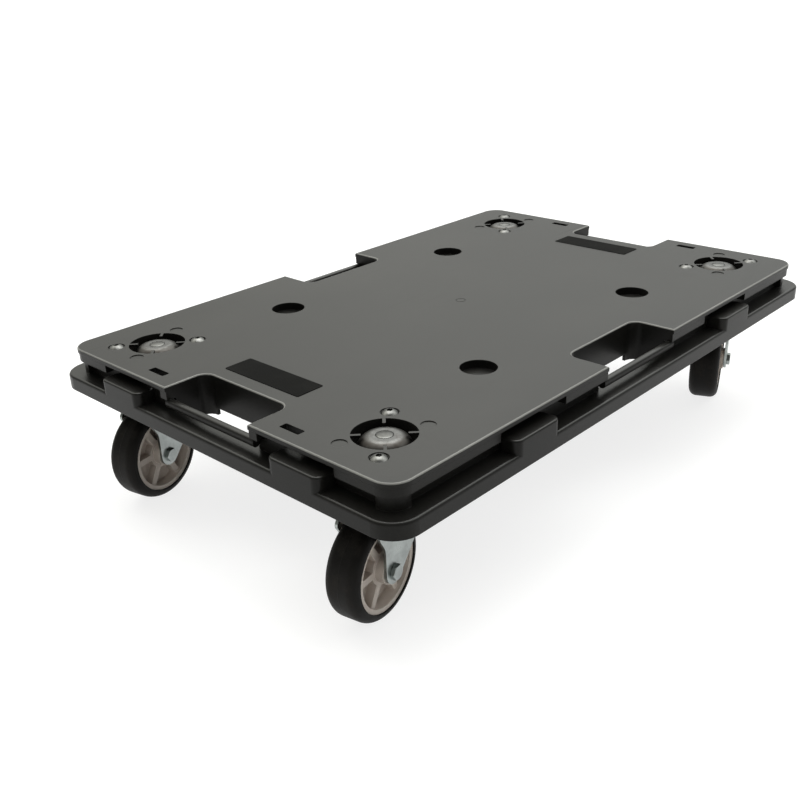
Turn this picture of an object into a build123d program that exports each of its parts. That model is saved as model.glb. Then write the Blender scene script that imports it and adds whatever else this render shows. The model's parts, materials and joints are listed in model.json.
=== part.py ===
"""Platform dolly: one ribbed plastic deck on four swivel casters.

Millimetres. +Z is up, +X runs along the long side, and the origin lies on the floor under the
middle of the deck. Front is +X and left is +Y.
"""
import os
from math import copysign, sqrt

from build123d import *

# Deck outline and skin
DECK_LENGTH = 720.0
DECK_WIDTH = 469.0
DECK_CORNER_R = 21.0
DECK_SKIN = 5.0
DECK_EDGE_R = 2.0

# Edge band, side wall and bumper rail, as drops below the deck top and insets from the deck edge
BAND_DROP = 14.0
BAND_INSET = 1.0
BAND_T = 4.0
WALL_INSET = 10.5
WALL_T = 3.0
WALL_DROP = 35.5
RAIL_OVERHANG = 11.0
RAIL_CORNER_R = 27.0
RAIL_TOP_DROP = 27.5
RAIL_HEIGHT = 15.5
RAIL_T = 4.0
RAIL_EDGE_R = 3.0
POST_INSET = 4.5
POST_SIZE = 24.0

# Hand-hold notches and the grip bars across their mouths
NOTCH_WIDTH = 123.0
NOTCH_DEPTH = 48.0
NOTCH_CORNER_R = 12.0
GRIP_T = 8.5
GRIP_DROP = 14.0
GRIP_HEIGHT = 8.5
GRIP_EDGE_R = 3.5

# Strap pockets in the edge band and the raised rail blocks under them
POCKET_SHORT_SIDE = 120.0
POCKET_LONG_SIDE = 179.5
POCKET_WIDTH = 96.0
POCKET_DEPTH = 23.5
BLOCK_SHIFT = 8.5
BLOCK_WIDTH = 64.0
BLOCK_CORNER_R = 8.0
BLOCK_EDGE_R = 2.0
STRAP_SLOT_LENGTH = 24.5
STRAP_SLOT_WIDTH = 8.5
STRAP_SLOT_CORNER_R = 1.5
STRAP_SLOT_FROM_EDGE = 19.0
STRAP_SLOT_OUT = 98.5

# Stacking cups, gate mark and ribs of the deck
CUP_R = 18.5
CUP_DEPTH = 8.5
CUP_OUT_X = 139.5
CUP_OUT_Y = 138.5
GATE_R = 5.8
MARK_DEPTH = 0.4
MARK_T = 0.9
RIB_T = 3.0
RIB_DROP = 30.0
RIB_PITCH_X = 69.0
RIB_PITCH_Y = 63.0
RIBS_ACROSS = 9
RIBS_ALONG = 7
BAY_LENGTH = 98.0
BAY_WIDTH = 94.0
BAY_CORNER_R = 15.0

# Grip pads let into the deck
PAD_LENGTH = 32.0
PAD_WIDTH = 107.0
PAD_CORNER_R = 2.0
PAD_RECESS = 0.6
PAD_PROUD = 0.4
PAD_FROM_NOTCH = 17.0
PAD_CLEARANCE = 0.2

# Caster places and the wells above them
CASTER_FROM_END = 62.5
CASTER_FROM_SIDE = 69.0
WELL_R = 29.0
WELL_TAB_T = 3.0
WELL_TAB_REACH = 9.0
WELL_TAB_HEIGHT = 2.0
SPARE_OUT_X = 36.0
SPARE_OUT_Y = 17.0
SPARE_R = 7.0
SPARE_DEPTH = 0.8
MOUNT_DROP = 17.0
CASTER_HEADINGS = {
    "front_left": 197.0,
    "front_right": 201.9,
    "rear_left": 192.5,
    "rear_right": 190.0,
}

# Caster top plate
PLATE_LENGTH = 90.0
PLATE_WIDTH = 74.0
PLATE_T = 3.0
PLATE_CORNER_R = 9.0
PLATE_SEAT_MARGIN = 1.0
PLATE_BOLT_X = 33.0
PLATE_BOLT_Y = 25.5
PLATE_HOLE_R = 4.6
DOME_BASE_R = 25.0
DOME_TOP_R = 23.5
DOME_HEIGHT = 16.0
DOME_EDGE_R = 13.0
SKIRT_T = 2.0
SKIRT_HEIGHT = 8.0
SKIRT_GAP = 1.2

# Deck bolts with washers and nuts
BOLT_R = 4.0
BOLT_HOLE_R = 4.3
BOLT_HEAD_R = 8.0
BOLT_HEAD_HEIGHT = 3.6
SOCKET_FLATS = 5.0
SOCKET_DEPTH = 2.2
BOLT_SEAT_DROP = 1.2
BOLT_SEAT_CLEARANCE = 0.7
BOLT_TAIL = 2.0
WASHER_R = 8.0
WASHER_T = 1.6
NUT_FLATS = 13.0
NUT_HEIGHT = 6.5
NUT_CHAMFER = 0.7
THREAD_FIT = 0.05

# Swivel bearing
RACE_STACK = 16.0
DISH_R = 27.0
UPPER_BALL_R = 3.0
UPPER_BALLS = 18
UPPER_PITCH_R = 22.7
LOWER_BALL_R = 2.5
LOWER_BALLS = 12
LOWER_PITCH_R = 13.0
BALL_SEAT_GAP = 0.15
BALL_RUN_GAP = 0.3
RACE_RIM_DROP = 1.0
CUP_RACE_R = 18.0
CUP_RACE_FLOOR = 2.0
KINGPIN_R = 5.0
KINGPIN_FIT = 0.08
KINGPIN_HEAD_R = 8.0
KINGPIN_HEAD_HEIGHT = 2.0
KINGPIN_RIVET_HEIGHT = 0.8
PRESS_GAP = 0.05

# Fork, with leg edges as distances from the swivel axis and drops below the crown
CROWN_T = 3.0
CROWN_R = 33.0
CROWN_BEND_R = 5.0
CROWN_BEND_INNER_R = 2.0
LEG_T = 3.0
LEG_TIP_R = 11.5
LEG_TOP_BACK = 24.0
LEG_SHOULDER = 34.0
LEG_SHOULDER_DROP = 22.0
LEG_BACK = 46.0
LEG_BACK_DROP = 36.0
LEG_FLARE_DROP = 55.0
LEG_FRONT = 22.0
LEG_FRONT_DROP = 30.0
LEG_WAIST = 5.0

# Wheel and axle
WHEEL_R = 50.0
WHEEL_WIDTH = 34.0
WHEEL_HEADROOM = 24.0
TRAIL = 27.5
TYRE_T = 9.2
TYRE_SHOULDER_R = 9.0
RIM_WIDTH = 31.0
RIM_RING_T = 4.5
DISC_WIDTH = 23.0
WEB_T = 5.0
SPOKES = 6
SPOKE_T = 6.5
HUB_R = 13.0
HUB_LENGTH = 39.8
POCKET_CORNER_R = 2.5
BUSH_T = 3.0
SLEEVE_T = 2.0
SLEEVE_FIT = 0.08
AXLE_R = 4.0
AXLE_HEAD_HEIGHT = 4.0
LEG_CLEARANCE = 0.5

# Heights worked out from the stack of wheel, fork, bearing, plate and mount
CROWN_UNDER_Z = 2 * WHEEL_R + WHEEL_HEADROOM
CROWN_TOP_Z = CROWN_UNDER_Z + CROWN_T
PLATE_UNDER_Z = CROWN_TOP_Z + RACE_STACK
PLATE_TOP_Z = PLATE_UNDER_Z + PLATE_T
DECK_TOP_Z = PLATE_TOP_Z + MOUNT_DROP
SKIN_UNDER_Z = DECK_TOP_Z - DECK_SKIN
BAND_UNDER_Z = DECK_TOP_Z - BAND_DROP
RAIL_TOP_Z = DECK_TOP_Z - RAIL_TOP_DROP
RAIL_UNDER_Z = RAIL_TOP_Z - RAIL_HEIGHT
DOME_TOP_Z = PLATE_TOP_Z + DOME_HEIGHT
BOLT_SEAT_Z = DECK_TOP_Z - BOLT_SEAT_DROP
WASHER_UNDER_Z = PLATE_UNDER_Z - WASHER_T
NUT_UNDER_Z = WASHER_UNDER_Z - NUT_HEIGHT
UPPER_BALL_Z = PLATE_UNDER_Z - BALL_RUN_GAP - UPPER_BALL_R
LOWER_BALL_Z = CROWN_UNDER_Z - BALL_SEAT_GAP - LOWER_BALL_R
CUP_RACE_UNDER_Z = LOWER_BALL_Z - LOWER_BALL_R - BALL_RUN_GAP - CUP_RACE_FLOOR

# Widths and radii worked out from the wheel
LEG_INNER = HUB_LENGTH / 2 + LEG_CLEARANCE
LEG_OUTER = LEG_INNER + LEG_T
RIM_R = WHEEL_R - TYRE_T
SLEEVE_R = AXLE_R + THREAD_FIT + SLEEVE_T
BUSH_BORE_R = SLEEVE_R + SLEEVE_FIT
BUSH_R = BUSH_BORE_R + BUSH_T

# Side number times a quarter turn gives the side's outward direction
QUARTER = 90.0
SIDES = (0, 1, 2, 3)
CORNERS = {
    "front_left": (1, 1),
    "front_right": (1, -1),
    "rear_left": (-1, 1),
    "rear_right": (-1, -1),
}
LOW = (Align.MIN, Align.MIN, Align.MIN)
UPRIGHT = (Align.CENTER, Align.CENTER, Align.MIN)


def box_between(low, high):
    """Box between two opposite corners."""
    size = [b - a for a, b in zip(low, high)]
    return Pos(*low) * Box(*size, align=LOW)


def post(radius, low, high):
    """Upright cylinder on the Z axis between two heights."""
    return Pos(0, 0, low) * Cylinder(radius, high - low, align=UPRIGHT)


def ring(outer, inner, low, high):
    """Upright tube on the Z axis between two heights."""
    return post(outer, low, high) - post(inner, low, high)


def slab(outline, low, high):
    """Plan outline extruded between two heights."""
    return extrude(Pos(0, 0, low) * outline, high - low)


def turned(points):
    """Solid of revolution about Z from a closed outline of radius and height pairs."""
    outline = make_face(Polyline([(r, 0, z) for r, z in points], close=True))
    return revolve(outline, axis=Axis.Z)


def hexagon(flats, low, high):
    """Upright hexagonal prism with the given width across flats and chamfered corners."""
    prism = slab(RegularPolygon(flats / 2, 6, major_radius=False), low, high)
    corner_r = flats / sqrt(3)
    face_r = corner_r - sqrt(3) * NUT_CHAMFER
    return prism & turned([(0, low), (face_r, low), (corner_r, low + NUT_CHAMFER),
                           (corner_r, high - NUT_CHAMFER), (face_r, high), (0, high)])


def side_half(side):
    """Distance from the middle of the deck to the edge of a side."""
    return (DECK_WIDTH if side % 2 else DECK_LENGTH) / 2


def on_side(side, shape):
    """Place a shape drawn with the deck edge at x = 0 and outwards along +X."""
    return Rot(0, 0, side * QUARTER) * Pos(side_half(side), 0, 0) * shape


def pocket_places():
    """Side number and distance along that side of every strap pocket."""
    for side in SIDES:
        out = POCKET_LONG_SIDE if side % 2 else POCKET_SHORT_SIDE
        yield side, out
        yield side, -out


def block_place(out):
    """Distance along a side of the rail block that goes with a pocket, nearer the corner."""
    return copysign(abs(out) + BLOCK_SHIFT, out)


def caster_place(corner):
    """Plan position of a corner's swivel axis."""
    sx, sy = CORNERS[corner]
    return sx * (DECK_LENGTH / 2 - CASTER_FROM_END), sy * (DECK_WIDTH / 2 - CASTER_FROM_SIDE)


def bolt_places(corner):
    """Plan positions of the two deck bolts of a corner, on the diagonal towards it."""
    x, y = caster_place(corner)
    sx, sy = CORNERS[corner]
    dx, dy = sx * PLATE_BOLT_X, sy * PLATE_BOLT_Y
    return [(x + dx, y + dy), (x - dx, y - dy)]


def spare_places(corner):
    """Plan positions of the two round marks beside a corner's well."""
    x, y = caster_place(corner)
    sx, sy = CORNERS[corner]
    dx, dy = sx * SPARE_OUT_X, -sy * SPARE_OUT_Y
    return [(x + dx, y + dy), (x - dx, y - dy)]


def all_bolt_places():
    """Plan positions of every deck bolt."""
    return [place for corner in CORNERS for place in bolt_places(corner)]


def deck_outline(inset):
    """Plan of the deck edge, moved inwards."""
    radius = max(DECK_CORNER_R - inset, WALL_T)
    return RectangleRounded(DECK_LENGTH - 2 * inset, DECK_WIDTH - 2 * inset, radius)


def rail_outline(inset):
    """Plan of the bumper rail's outer face, moved inwards."""
    length = DECK_LENGTH + 2 * (RAIL_OVERHANG - inset)
    width = DECK_WIDTH + 2 * (RAIL_OVERHANG - inset)
    return RectangleRounded(length, width, RAIL_CORNER_R - inset)


def notch_outlines(grow):
    """Plan of the four hand-hold notches, grown by a wall."""
    radius = NOTCH_CORNER_R + grow
    inner = NOTCH_DEPTH + grow
    outer = RAIL_OVERHANG + 2 * radius
    mouth = RectangleRounded(inner + outer, NOTCH_WIDTH + 2 * grow, radius)
    mouth = Pos((outer - inner) / 2, 0) * mouth
    return [on_side(side, mouth) for side in SIDES]


def deck_skin():
    """Flat top skin with rounded upper edges, notched for the hand-holds."""
    skin = slab(deck_outline(0) - notch_outlines(0), SKIN_UNDER_Z, DECK_TOP_Z)
    rim = skin.edges().group_by(Axis.Z)[-1]
    return fillet(rim, DECK_EDGE_R)


def edge_band():
    """Downturned band just inside the deck edge, with cheeks at the sides of the notches."""
    outer = deck_outline(BAND_INSET) - notch_outlines(0)
    inner = deck_outline(BAND_INSET + BAND_T) - notch_outlines(WALL_T)
    cheeks_only = deck_outline(WALL_INSET + WALL_T) - notch_outlines(0)
    return slab(outer - inner - cheeks_only, BAND_UNDER_Z, SKIN_UNDER_Z)


def side_wall():
    """Set-back wall under the skin that runs round the hand-hold wells."""
    outer = deck_outline(WALL_INSET) - notch_outlines(0)
    inner = deck_outline(WALL_INSET + WALL_T) - notch_outlines(WALL_T)
    return slab(outer - inner, DECK_TOP_Z - WALL_DROP, SKIN_UNDER_Z)


def notch_cheeks():
    """Deeper sides and corners of the hand-hold wells, down to the underside of the rail."""
    field = deck_outline(WALL_INSET)
    cheeks = (field - notch_outlines(0)) - (field - notch_outlines(WALL_T))
    back = Pos(-NOTCH_DEPTH - WALL_T / 2, 0) * Rectangle(2 * WALL_T, NOTCH_WIDTH - 2 * NOTCH_CORNER_R)
    cheeks -= [on_side(side, back) for side in SIDES]
    return slab(cheeks, RAIL_UNDER_Z, DECK_TOP_Z - WALL_DROP)


def corner_posts():
    """Posts under the edge band at the four corners of the deck, standing on the rail."""
    posts = deck_outline(POST_INSET) - deck_outline(WALL_INSET)
    posts -= Rectangle(DECK_LENGTH, DECK_WIDTH - 2 * POST_SIZE)
    posts -= Rectangle(DECK_LENGTH - 2 * POST_SIZE, DECK_WIDTH)
    return slab(posts, RAIL_TOP_Z - RAIL_T, BAND_UNDER_Z)


def bumper_rail():
    """Protruding rail: an inverted channel with a rounded upper edge."""
    rail = slab(rail_outline(0), RAIL_UNDER_Z, RAIL_TOP_Z)
    rail = fillet(rail.edges().group_by(Axis.Z)[-1], RAIL_EDGE_R)
    rail -= slab(deck_outline(WALL_INSET + WALL_T), RAIL_UNDER_Z, RAIL_TOP_Z)
    channel = rail_outline(RAIL_T) - deck_outline(WALL_INSET)
    return rail - slab(channel, RAIL_UNDER_Z, RAIL_TOP_Z - RAIL_T)


def grip_bar():
    """Rounded bar across a hand-hold mouth, drawn with the deck edge at x = 0."""
    half = NOTCH_WIDTH / 2 + BAND_T
    top = DECK_TOP_Z - GRIP_DROP
    low = (-BAND_INSET - GRIP_T, -half, top - GRIP_HEIGHT)
    bar = box_between(low, (-BAND_INSET, half, top))
    return fillet(bar.edges().filter_by(Axis.Y), GRIP_EDGE_R)


def rail_block():
    """Raised hollow block on the rail, drawn with the deck edge at x = 0."""
    depth = RAIL_OVERHANG + WALL_INSET + WALL_T
    plan = Pos(RAIL_OVERHANG - depth / 2, 0) * RectangleRounded(depth, BLOCK_WIDTH, BLOCK_CORNER_R)
    block = slab(plan, RAIL_TOP_Z - RAIL_T, BAND_UNDER_Z)
    return fillet(block.edges().group_by(Axis.Z)[-1], BLOCK_EDGE_R)


def rail_block_hollow():
    """Space inside a rail block, open below."""
    half = BLOCK_WIDTH / 2 - RAIL_T
    low = (-WALL_INSET, -half, RAIL_UNDER_Z)
    return box_between(low, (RAIL_OVERHANG - RAIL_T, half, BAND_UNDER_Z - RAIL_T))


def pocket_housing():
    """Floor, back and cheeks of a strap pocket, drawn with the deck edge at x = 0."""
    half = POCKET_WIDTH / 2
    back = POCKET_DEPTH + WALL_T
    low = (-back, -half - WALL_T, BAND_UNDER_Z - WALL_T)
    housing = [box_between(low, (-WALL_INSET, half + WALL_T, SKIN_UNDER_Z))]
    for start in (-half - WALL_T, half):
        cheek_low = (-WALL_INSET, start, BAND_UNDER_Z)
        housing.append(box_between(cheek_low, (-BAND_INSET, start + WALL_T, SKIN_UNDER_Z)))
    return housing


def pocket_hollow():
    """Space of a strap pocket through the band, drawn with the deck edge at x = 0."""
    half = POCKET_WIDTH / 2
    return box_between((-POCKET_DEPTH, -half, BAND_UNDER_Z), (BAND_T, half, SKIN_UNDER_Z))


def strap_slot():
    """Slot through the skin above a pocket, drawn with the deck edge at x = 0."""
    plan = RectangleRounded(STRAP_SLOT_WIDTH, STRAP_SLOT_LENGTH, STRAP_SLOT_CORNER_R)
    return slab(Pos(-STRAP_SLOT_FROM_EDGE, 0) * plan, SKIN_UNDER_Z, DECK_TOP_Z)


def underside_ribs():
    """Crossed ribs under the skin, with a walled bay round each caster."""
    low, high = DECK_TOP_Z - RIB_DROP, SKIN_UNDER_Z
    ribs = Sketch()
    for i in range(RIBS_ACROSS):
        x = (i - (RIBS_ACROSS - 1) / 2) * RIB_PITCH_X
        ribs += Pos(x, 0) * Rectangle(RIB_T, DECK_WIDTH)
    for i in range(RIBS_ALONG):
        y = (i - (RIBS_ALONG - 1) / 2) * RIB_PITCH_Y
        ribs += Pos(0, y) * Rectangle(DECK_LENGTH, RIB_T)
    bay = RectangleRounded(BAY_LENGTH, BAY_WIDTH, BAY_CORNER_R)
    walled = RectangleRounded(BAY_LENGTH + 2 * RIB_T, BAY_WIDTH + 2 * RIB_T, BAY_CORNER_R + RIB_T)
    ribs += [Pos(*caster_place(corner)) * walled for corner in CORNERS]
    field = deck_outline(WALL_INSET) - notch_outlines(0)
    field -= [Pos(*caster_place(corner)) * bay for corner in CORNERS]
    return slab(ribs & field, low, high)


def plate_seat():
    """Plan of the pad that a caster plate seats against, centred on its swivel axis."""
    length = PLATE_LENGTH + 2 * PLATE_SEAT_MARGIN
    width = PLATE_WIDTH + 2 * PLATE_SEAT_MARGIN
    return RectangleRounded(length, width, PLATE_CORNER_R + PLATE_SEAT_MARGIN)


def caster_mount():
    """Solid pad under the skin for a caster plate, centred on its swivel axis."""
    return slab(plate_seat(), PLATE_TOP_Z, SKIN_UNDER_Z)


def well_tabs():
    """Four thin tabs level with the deck top that reach into a caster well."""
    low = (WELL_R - WELL_TAB_REACH, -WELL_TAB_T / 2, DECK_TOP_Z - WELL_TAB_HEIGHT)
    tab = box_between(low, (WELL_R + WELL_TAB_T, WELL_TAB_T / 2, DECK_TOP_Z))
    return [Rot(0, 0, (side + 0.5) * QUARTER) * tab for side in SIDES]


def moulded_ring(radius):
    """Shallow ring sunk in the deck top, drawn on the Z axis."""
    return ring(radius, radius - MARK_T, DECK_TOP_Z - MARK_DEPTH, DECK_TOP_Z)


def pad_place(end):
    """Plan position of a grip pad at the given end of the deck."""
    return end * (DECK_LENGTH / 2 - NOTCH_DEPTH - PAD_FROM_NOTCH - PAD_LENGTH / 2), 0


def pad_recess(end):
    """Recess in the deck top for a grip pad."""
    length = PAD_LENGTH + 2 * PAD_CLEARANCE
    width = PAD_WIDTH + 2 * PAD_CLEARANCE
    plan = RectangleRounded(length, width, PAD_CORNER_R + PAD_CLEARANCE)
    return slab(Pos(*pad_place(end)) * plan, DECK_TOP_Z - PAD_RECESS, DECK_TOP_Z)


def cup_places():
    """Plan positions of the four stacking cups."""
    return [(sx * CUP_OUT_X, sy * CUP_OUT_Y) for sx, sy in CORNERS.values()]


def deck_moulding():
    """The whole deck as one moulding."""
    deck = deck_skin() + edge_band() + side_wall() + bumper_rail() + underside_ribs()
    deck += notch_cheeks()
    deck += corner_posts()
    deck += [on_side(side, grip_bar()) for side in SIDES]
    for side, out in pocket_places():
        deck += [on_side(side, Pos(0, out, 0) * piece) for piece in pocket_housing()]
        deck += on_side(side, Pos(0, block_place(out), 0) * rail_block())
    deck += [fixed_at(corner, caster_mount()) for corner in CORNERS]
    cup_wall = post(CUP_R + WALL_T, DECK_TOP_Z - CUP_DEPTH - WALL_T, SKIN_UNDER_Z)
    deck += [Pos(*place, 0) * cup_wall for place in cup_places()]
    for side, out in pocket_places():
        deck -= on_side(side, Pos(0, out, 0) * pocket_hollow())
        deck -= on_side(side, Pos(0, block_place(out), 0) * rail_block_hollow())
    for side in (0, 2):
        for out in (STRAP_SLOT_OUT, -STRAP_SLOT_OUT):
            deck -= on_side(side, Pos(0, out, 0) * strap_slot())
    well = post(WELL_R, PLATE_TOP_Z, DECK_TOP_Z)
    for corner in CORNERS:
        deck -= fixed_at(corner, well)
        deck += [fixed_at(corner, tab) for tab in well_tabs()]
    seat = post(BOLT_HEAD_R + BOLT_SEAT_CLEARANCE, BOLT_SEAT_Z, DECK_TOP_Z)
    bolt_hole = post(BOLT_HOLE_R, PLATE_TOP_Z, BOLT_SEAT_Z) + seat
    deck -= [Pos(*place, 0) * bolt_hole for place in all_bolt_places()]
    spare = post(SPARE_R, DECK_TOP_Z - SPARE_DEPTH, DECK_TOP_Z)
    for corner in CORNERS:
        deck -= [Pos(*place, 0) * spare for place in spare_places(corner)]
    cup = post(CUP_R, DECK_TOP_Z - CUP_DEPTH, DECK_TOP_Z)
    deck -= [Pos(*place, 0) * cup for place in cup_places()]
    deck -= moulded_ring(GATE_R)
    deck -= [pad_recess(end) for end in (1, -1)]
    return deck


def grip_pad(end):
    """Thin pad let into the deck beside a short-side hand-hold."""
    plan = Pos(*pad_place(end)) * RectangleRounded(PAD_LENGTH, PAD_WIDTH, PAD_CORNER_R)
    return slab(plan, DECK_TOP_Z - PAD_RECESS, DECK_TOP_Z + PAD_PROUD)


def domed_head(radius, height, seat):
    """Round head with a flat seat and a domed top, on the Z axis."""
    sphere_r = (radius ** 2 + height ** 2) / (2 * height)
    dome = Pos(0, 0, seat + height - sphere_r) * Sphere(sphere_r)
    return dome & post(radius, seat, seat + height)


def deck_bolt():
    """Round-headed socket bolt through the deck and a caster plate."""
    shank = post(BOLT_R, NUT_UNDER_Z - BOLT_TAIL, BOLT_SEAT_Z)
    bolt = shank + domed_head(BOLT_HEAD_R, BOLT_HEAD_HEIGHT, BOLT_SEAT_Z)
    top = BOLT_SEAT_Z + BOLT_HEAD_HEIGHT
    socket = RegularPolygon(SOCKET_FLATS / 2, 6, major_radius=False)
    return bolt - slab(socket, top - SOCKET_DEPTH, top)


def plate_washer():
    """Washer under a caster plate."""
    return ring(WASHER_R, BOLT_HOLE_R, WASHER_UNDER_Z, PLATE_UNDER_Z)


def plate_nut():
    """Nut under a plate washer."""
    bore = post(BOLT_R + THREAD_FIT, NUT_UNDER_Z, WASHER_UNDER_Z)
    return hexagon(NUT_FLATS, NUT_UNDER_Z, WASHER_UNDER_Z) - bore


def caster_plate():
    """Stamped top plate with a raised centre and a skirt round the upper race."""
    plan = RectangleRounded(PLATE_LENGTH, PLATE_WIDTH, PLATE_CORNER_R)
    plate = slab(plan, PLATE_UNDER_Z, PLATE_TOP_Z)
    for sx, sy in CORNERS.values():
        place = Pos(sx * PLATE_BOLT_X, sy * PLATE_BOLT_Y, 0)
        plate -= place * post(PLATE_HOLE_R, PLATE_UNDER_Z, PLATE_TOP_Z)
    dome = turned([(0, PLATE_UNDER_Z), (DOME_BASE_R, PLATE_UNDER_Z), (DOME_BASE_R, PLATE_TOP_Z),
                   (DOME_TOP_R, DOME_TOP_Z), (0, DOME_TOP_Z)])
    plate += fillet(dome.edges().sort_by(Axis.Z)[-1], DOME_EDGE_R)
    hollow = turned([(0, PLATE_UNDER_Z), (DOME_BASE_R - PLATE_T, PLATE_UNDER_Z),
                     (DOME_TOP_R - PLATE_T, DOME_TOP_Z - PLATE_T), (0, DOME_TOP_Z - PLATE_T)])
    plate -= fillet(hollow.edges().sort_by(Axis.Z)[-1], DOME_EDGE_R - PLATE_T)
    plate -= post(KINGPIN_R + PRESS_GAP, PLATE_UNDER_Z, DOME_TOP_Z)
    skirt_r = DISH_R + SKIRT_GAP
    return plate + ring(skirt_r + SKIRT_T, skirt_r, PLATE_UNDER_Z - SKIRT_HEIGHT, PLATE_UNDER_Z)


def kingpin():
    """Rivet that holds the caster together, with a flat domed head at the top."""
    pin = post(KINGPIN_R, CUP_RACE_UNDER_Z, DOME_TOP_Z)
    pin += domed_head(KINGPIN_HEAD_R, KINGPIN_RIVET_HEIGHT, DOME_TOP_Z)
    return pin + post(KINGPIN_HEAD_R, CUP_RACE_UNDER_Z - KINGPIN_HEAD_HEIGHT, CUP_RACE_UNDER_Z)


def race_cup():
    """Fixed lower race on the kingpin, under the fork crown."""
    cup = ring(CUP_RACE_R, KINGPIN_R + PRESS_GAP, CUP_RACE_UNDER_Z, LOWER_BALL_Z - RACE_RIM_DROP)
    return cup - Pos(0, 0, LOWER_BALL_Z) * Torus(LOWER_PITCH_R, LOWER_BALL_R + BALL_RUN_GAP)


def ball_ring(count, radius, pitch_r, height):
    """Ring of loose balls in a race."""
    places = PolarLocations(pitch_r, count)
    return [Pos(0, 0, height) * place * Sphere(radius) for place in places]


def fork_side():
    """Side view of a fork leg and the crown, trailing edge towards +X, as an upright face."""
    top_front = (-LEG_FRONT, CROWN_TOP_Z)
    top_back = (LEG_TOP_BACK, CROWN_TOP_Z)
    shoulder = (LEG_SHOULDER, CROWN_TOP_Z - LEG_SHOULDER_DROP)
    back = (LEG_BACK, CROWN_TOP_Z - LEG_BACK_DROP)
    flare = (TRAIL + LEG_TIP_R, CROWN_TOP_Z - LEG_FLARE_DROP)
    tip_back = (TRAIL + LEG_TIP_R, WHEEL_R)
    tip = (TRAIL, WHEEL_R - LEG_TIP_R)
    tip_front = (TRAIL - LEG_TIP_R * sqrt(0.5), WHEEL_R - LEG_TIP_R * sqrt(0.5))
    waist = (-LEG_WAIST, tip_front[1] + tip_front[0] + LEG_WAIST)
    front = (-LEG_FRONT, CROWN_TOP_Z - LEG_FRONT_DROP)
    outline = [
        Line(top_front, top_back),
        Spline(top_back, shoulder, back, flare, tangents=[(1, -1), (0, -1)]),
        Line(flare, tip_back),
        ThreePointArc(tip_back, tip, tip_front),
        Line(tip_front, waist),
        Spline(waist, front, tangents=[(-1, 1), (0, 1)]),
        Line(front, top_front),
    ]
    return Plane.XZ * make_face(outline)


def fork():
    """Stamped fork: crown, two legs and the dished upper race."""
    depth = CROWN_R + LEG_BACK
    section = Rectangle(2 * LEG_OUTER, CROWN_TOP_Z, align=(Align.CENTER, Align.MIN))
    section = fillet(section.vertices().group_by(Axis.Y)[-1], CROWN_BEND_R)
    inside = Rectangle(2 * LEG_INNER, CROWN_UNDER_Z, align=(Align.CENTER, Align.MIN))
    inside = fillet(inside.vertices().group_by(Axis.Y)[-1], CROWN_BEND_INNER_R)
    frame = Plane((-CROWN_R, 0, 0), x_dir=(0, 1, 0), z_dir=(1, 0, 0))
    channel = extrude(frame * (section - inside), depth)
    side = extrude(fork_side(), LEG_OUTER, both=True)
    plan = Circle(CROWN_R) + Pos(LEG_BACK / 2, 0) * Rectangle(LEG_BACK, 2 * LEG_OUTER)
    body = channel & side & slab(plan, 0, CROWN_TOP_Z)
    body += post(DISH_R, CROWN_UNDER_Z, UPPER_BALL_Z - RACE_RIM_DROP)
    body -= Pos(0, 0, UPPER_BALL_Z) * Torus(UPPER_PITCH_R, UPPER_BALL_R + BALL_SEAT_GAP)
    body -= post(KINGPIN_R + KINGPIN_FIT, CROWN_UNDER_Z, UPPER_BALL_Z)
    return body - on_axle(post(AXLE_R + THREAD_FIT, -LEG_OUTER, LEG_OUTER))


def on_axle(shape):
    """Place a shape drawn on the Z axis onto the axle of a caster."""
    return Pos(TRAIL, 0, WHEEL_R) * Rot(-QUARTER, 0, 0) * shape


def axle_bolt():
    """Hexagon bolt through both fork legs, drawn on the Z axis with its head at the top."""
    end = -LEG_OUTER - NUT_HEIGHT - BOLT_TAIL
    head = hexagon(NUT_FLATS, LEG_OUTER, LEG_OUTER + AXLE_HEAD_HEIGHT)
    return post(AXLE_R, end, LEG_OUTER) + head


def axle_nut():
    """Nut on the axle bolt, drawn on the Z axis."""
    low = -LEG_OUTER - NUT_HEIGHT
    return hexagon(NUT_FLATS, low, -LEG_OUTER) - post(AXLE_R + THREAD_FIT, low, -LEG_OUTER)


def axle_sleeve():
    """Sleeve between the fork legs that the wheel runs on, drawn on the Z axis."""
    return ring(SLEEVE_R, AXLE_R + THREAD_FIT, -LEG_INNER, LEG_INNER)


def wheel_bush():
    """Plain bush in the wheel hub, drawn on the Z axis."""
    return ring(BUSH_R, BUSH_BORE_R, -HUB_LENGTH / 2, HUB_LENGTH / 2)


def spoke_pocket():
    """Plan of one hollow between two spokes of the wheel."""
    outer, inner = RIM_R - RIM_RING_T, HUB_R + SPOKE_T / 2
    sector = Circle(outer) - Circle(inner)
    for spoke in range(SPOKES):
        arm = Pos(outer / 2, 0) * Rectangle(outer + SPOKE_T, SPOKE_T)
        sector -= Rot(0, 0, spoke * 360 / SPOKES) * arm
    first = sector.faces().sort_by(Axis.X)[-1]
    return fillet(first.vertices(), POCKET_CORNER_R)


def wheel_rim():
    """Spoked wheel centre, drawn on the Z axis."""
    rim_half, disc_half, hub_half = RIM_WIDTH / 2, DISC_WIDTH / 2, HUB_LENGTH / 2
    rim = ring(RIM_R, RIM_R - RIM_RING_T, -rim_half, rim_half)
    rim += post(RIM_R - RIM_RING_T, -disc_half, disc_half)
    rim += post(HUB_R, -hub_half, hub_half)
    pocket = spoke_pocket()
    for spoke in range(SPOKES):
        turn = Rot(0, 0, spoke * 360 / SPOKES)
        rim -= turn * slab(pocket, WEB_T / 2, disc_half)
        rim -= turn * slab(pocket, -disc_half, -WEB_T / 2)
    return rim - post(BUSH_R + PRESS_GAP, -hub_half, hub_half)


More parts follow.
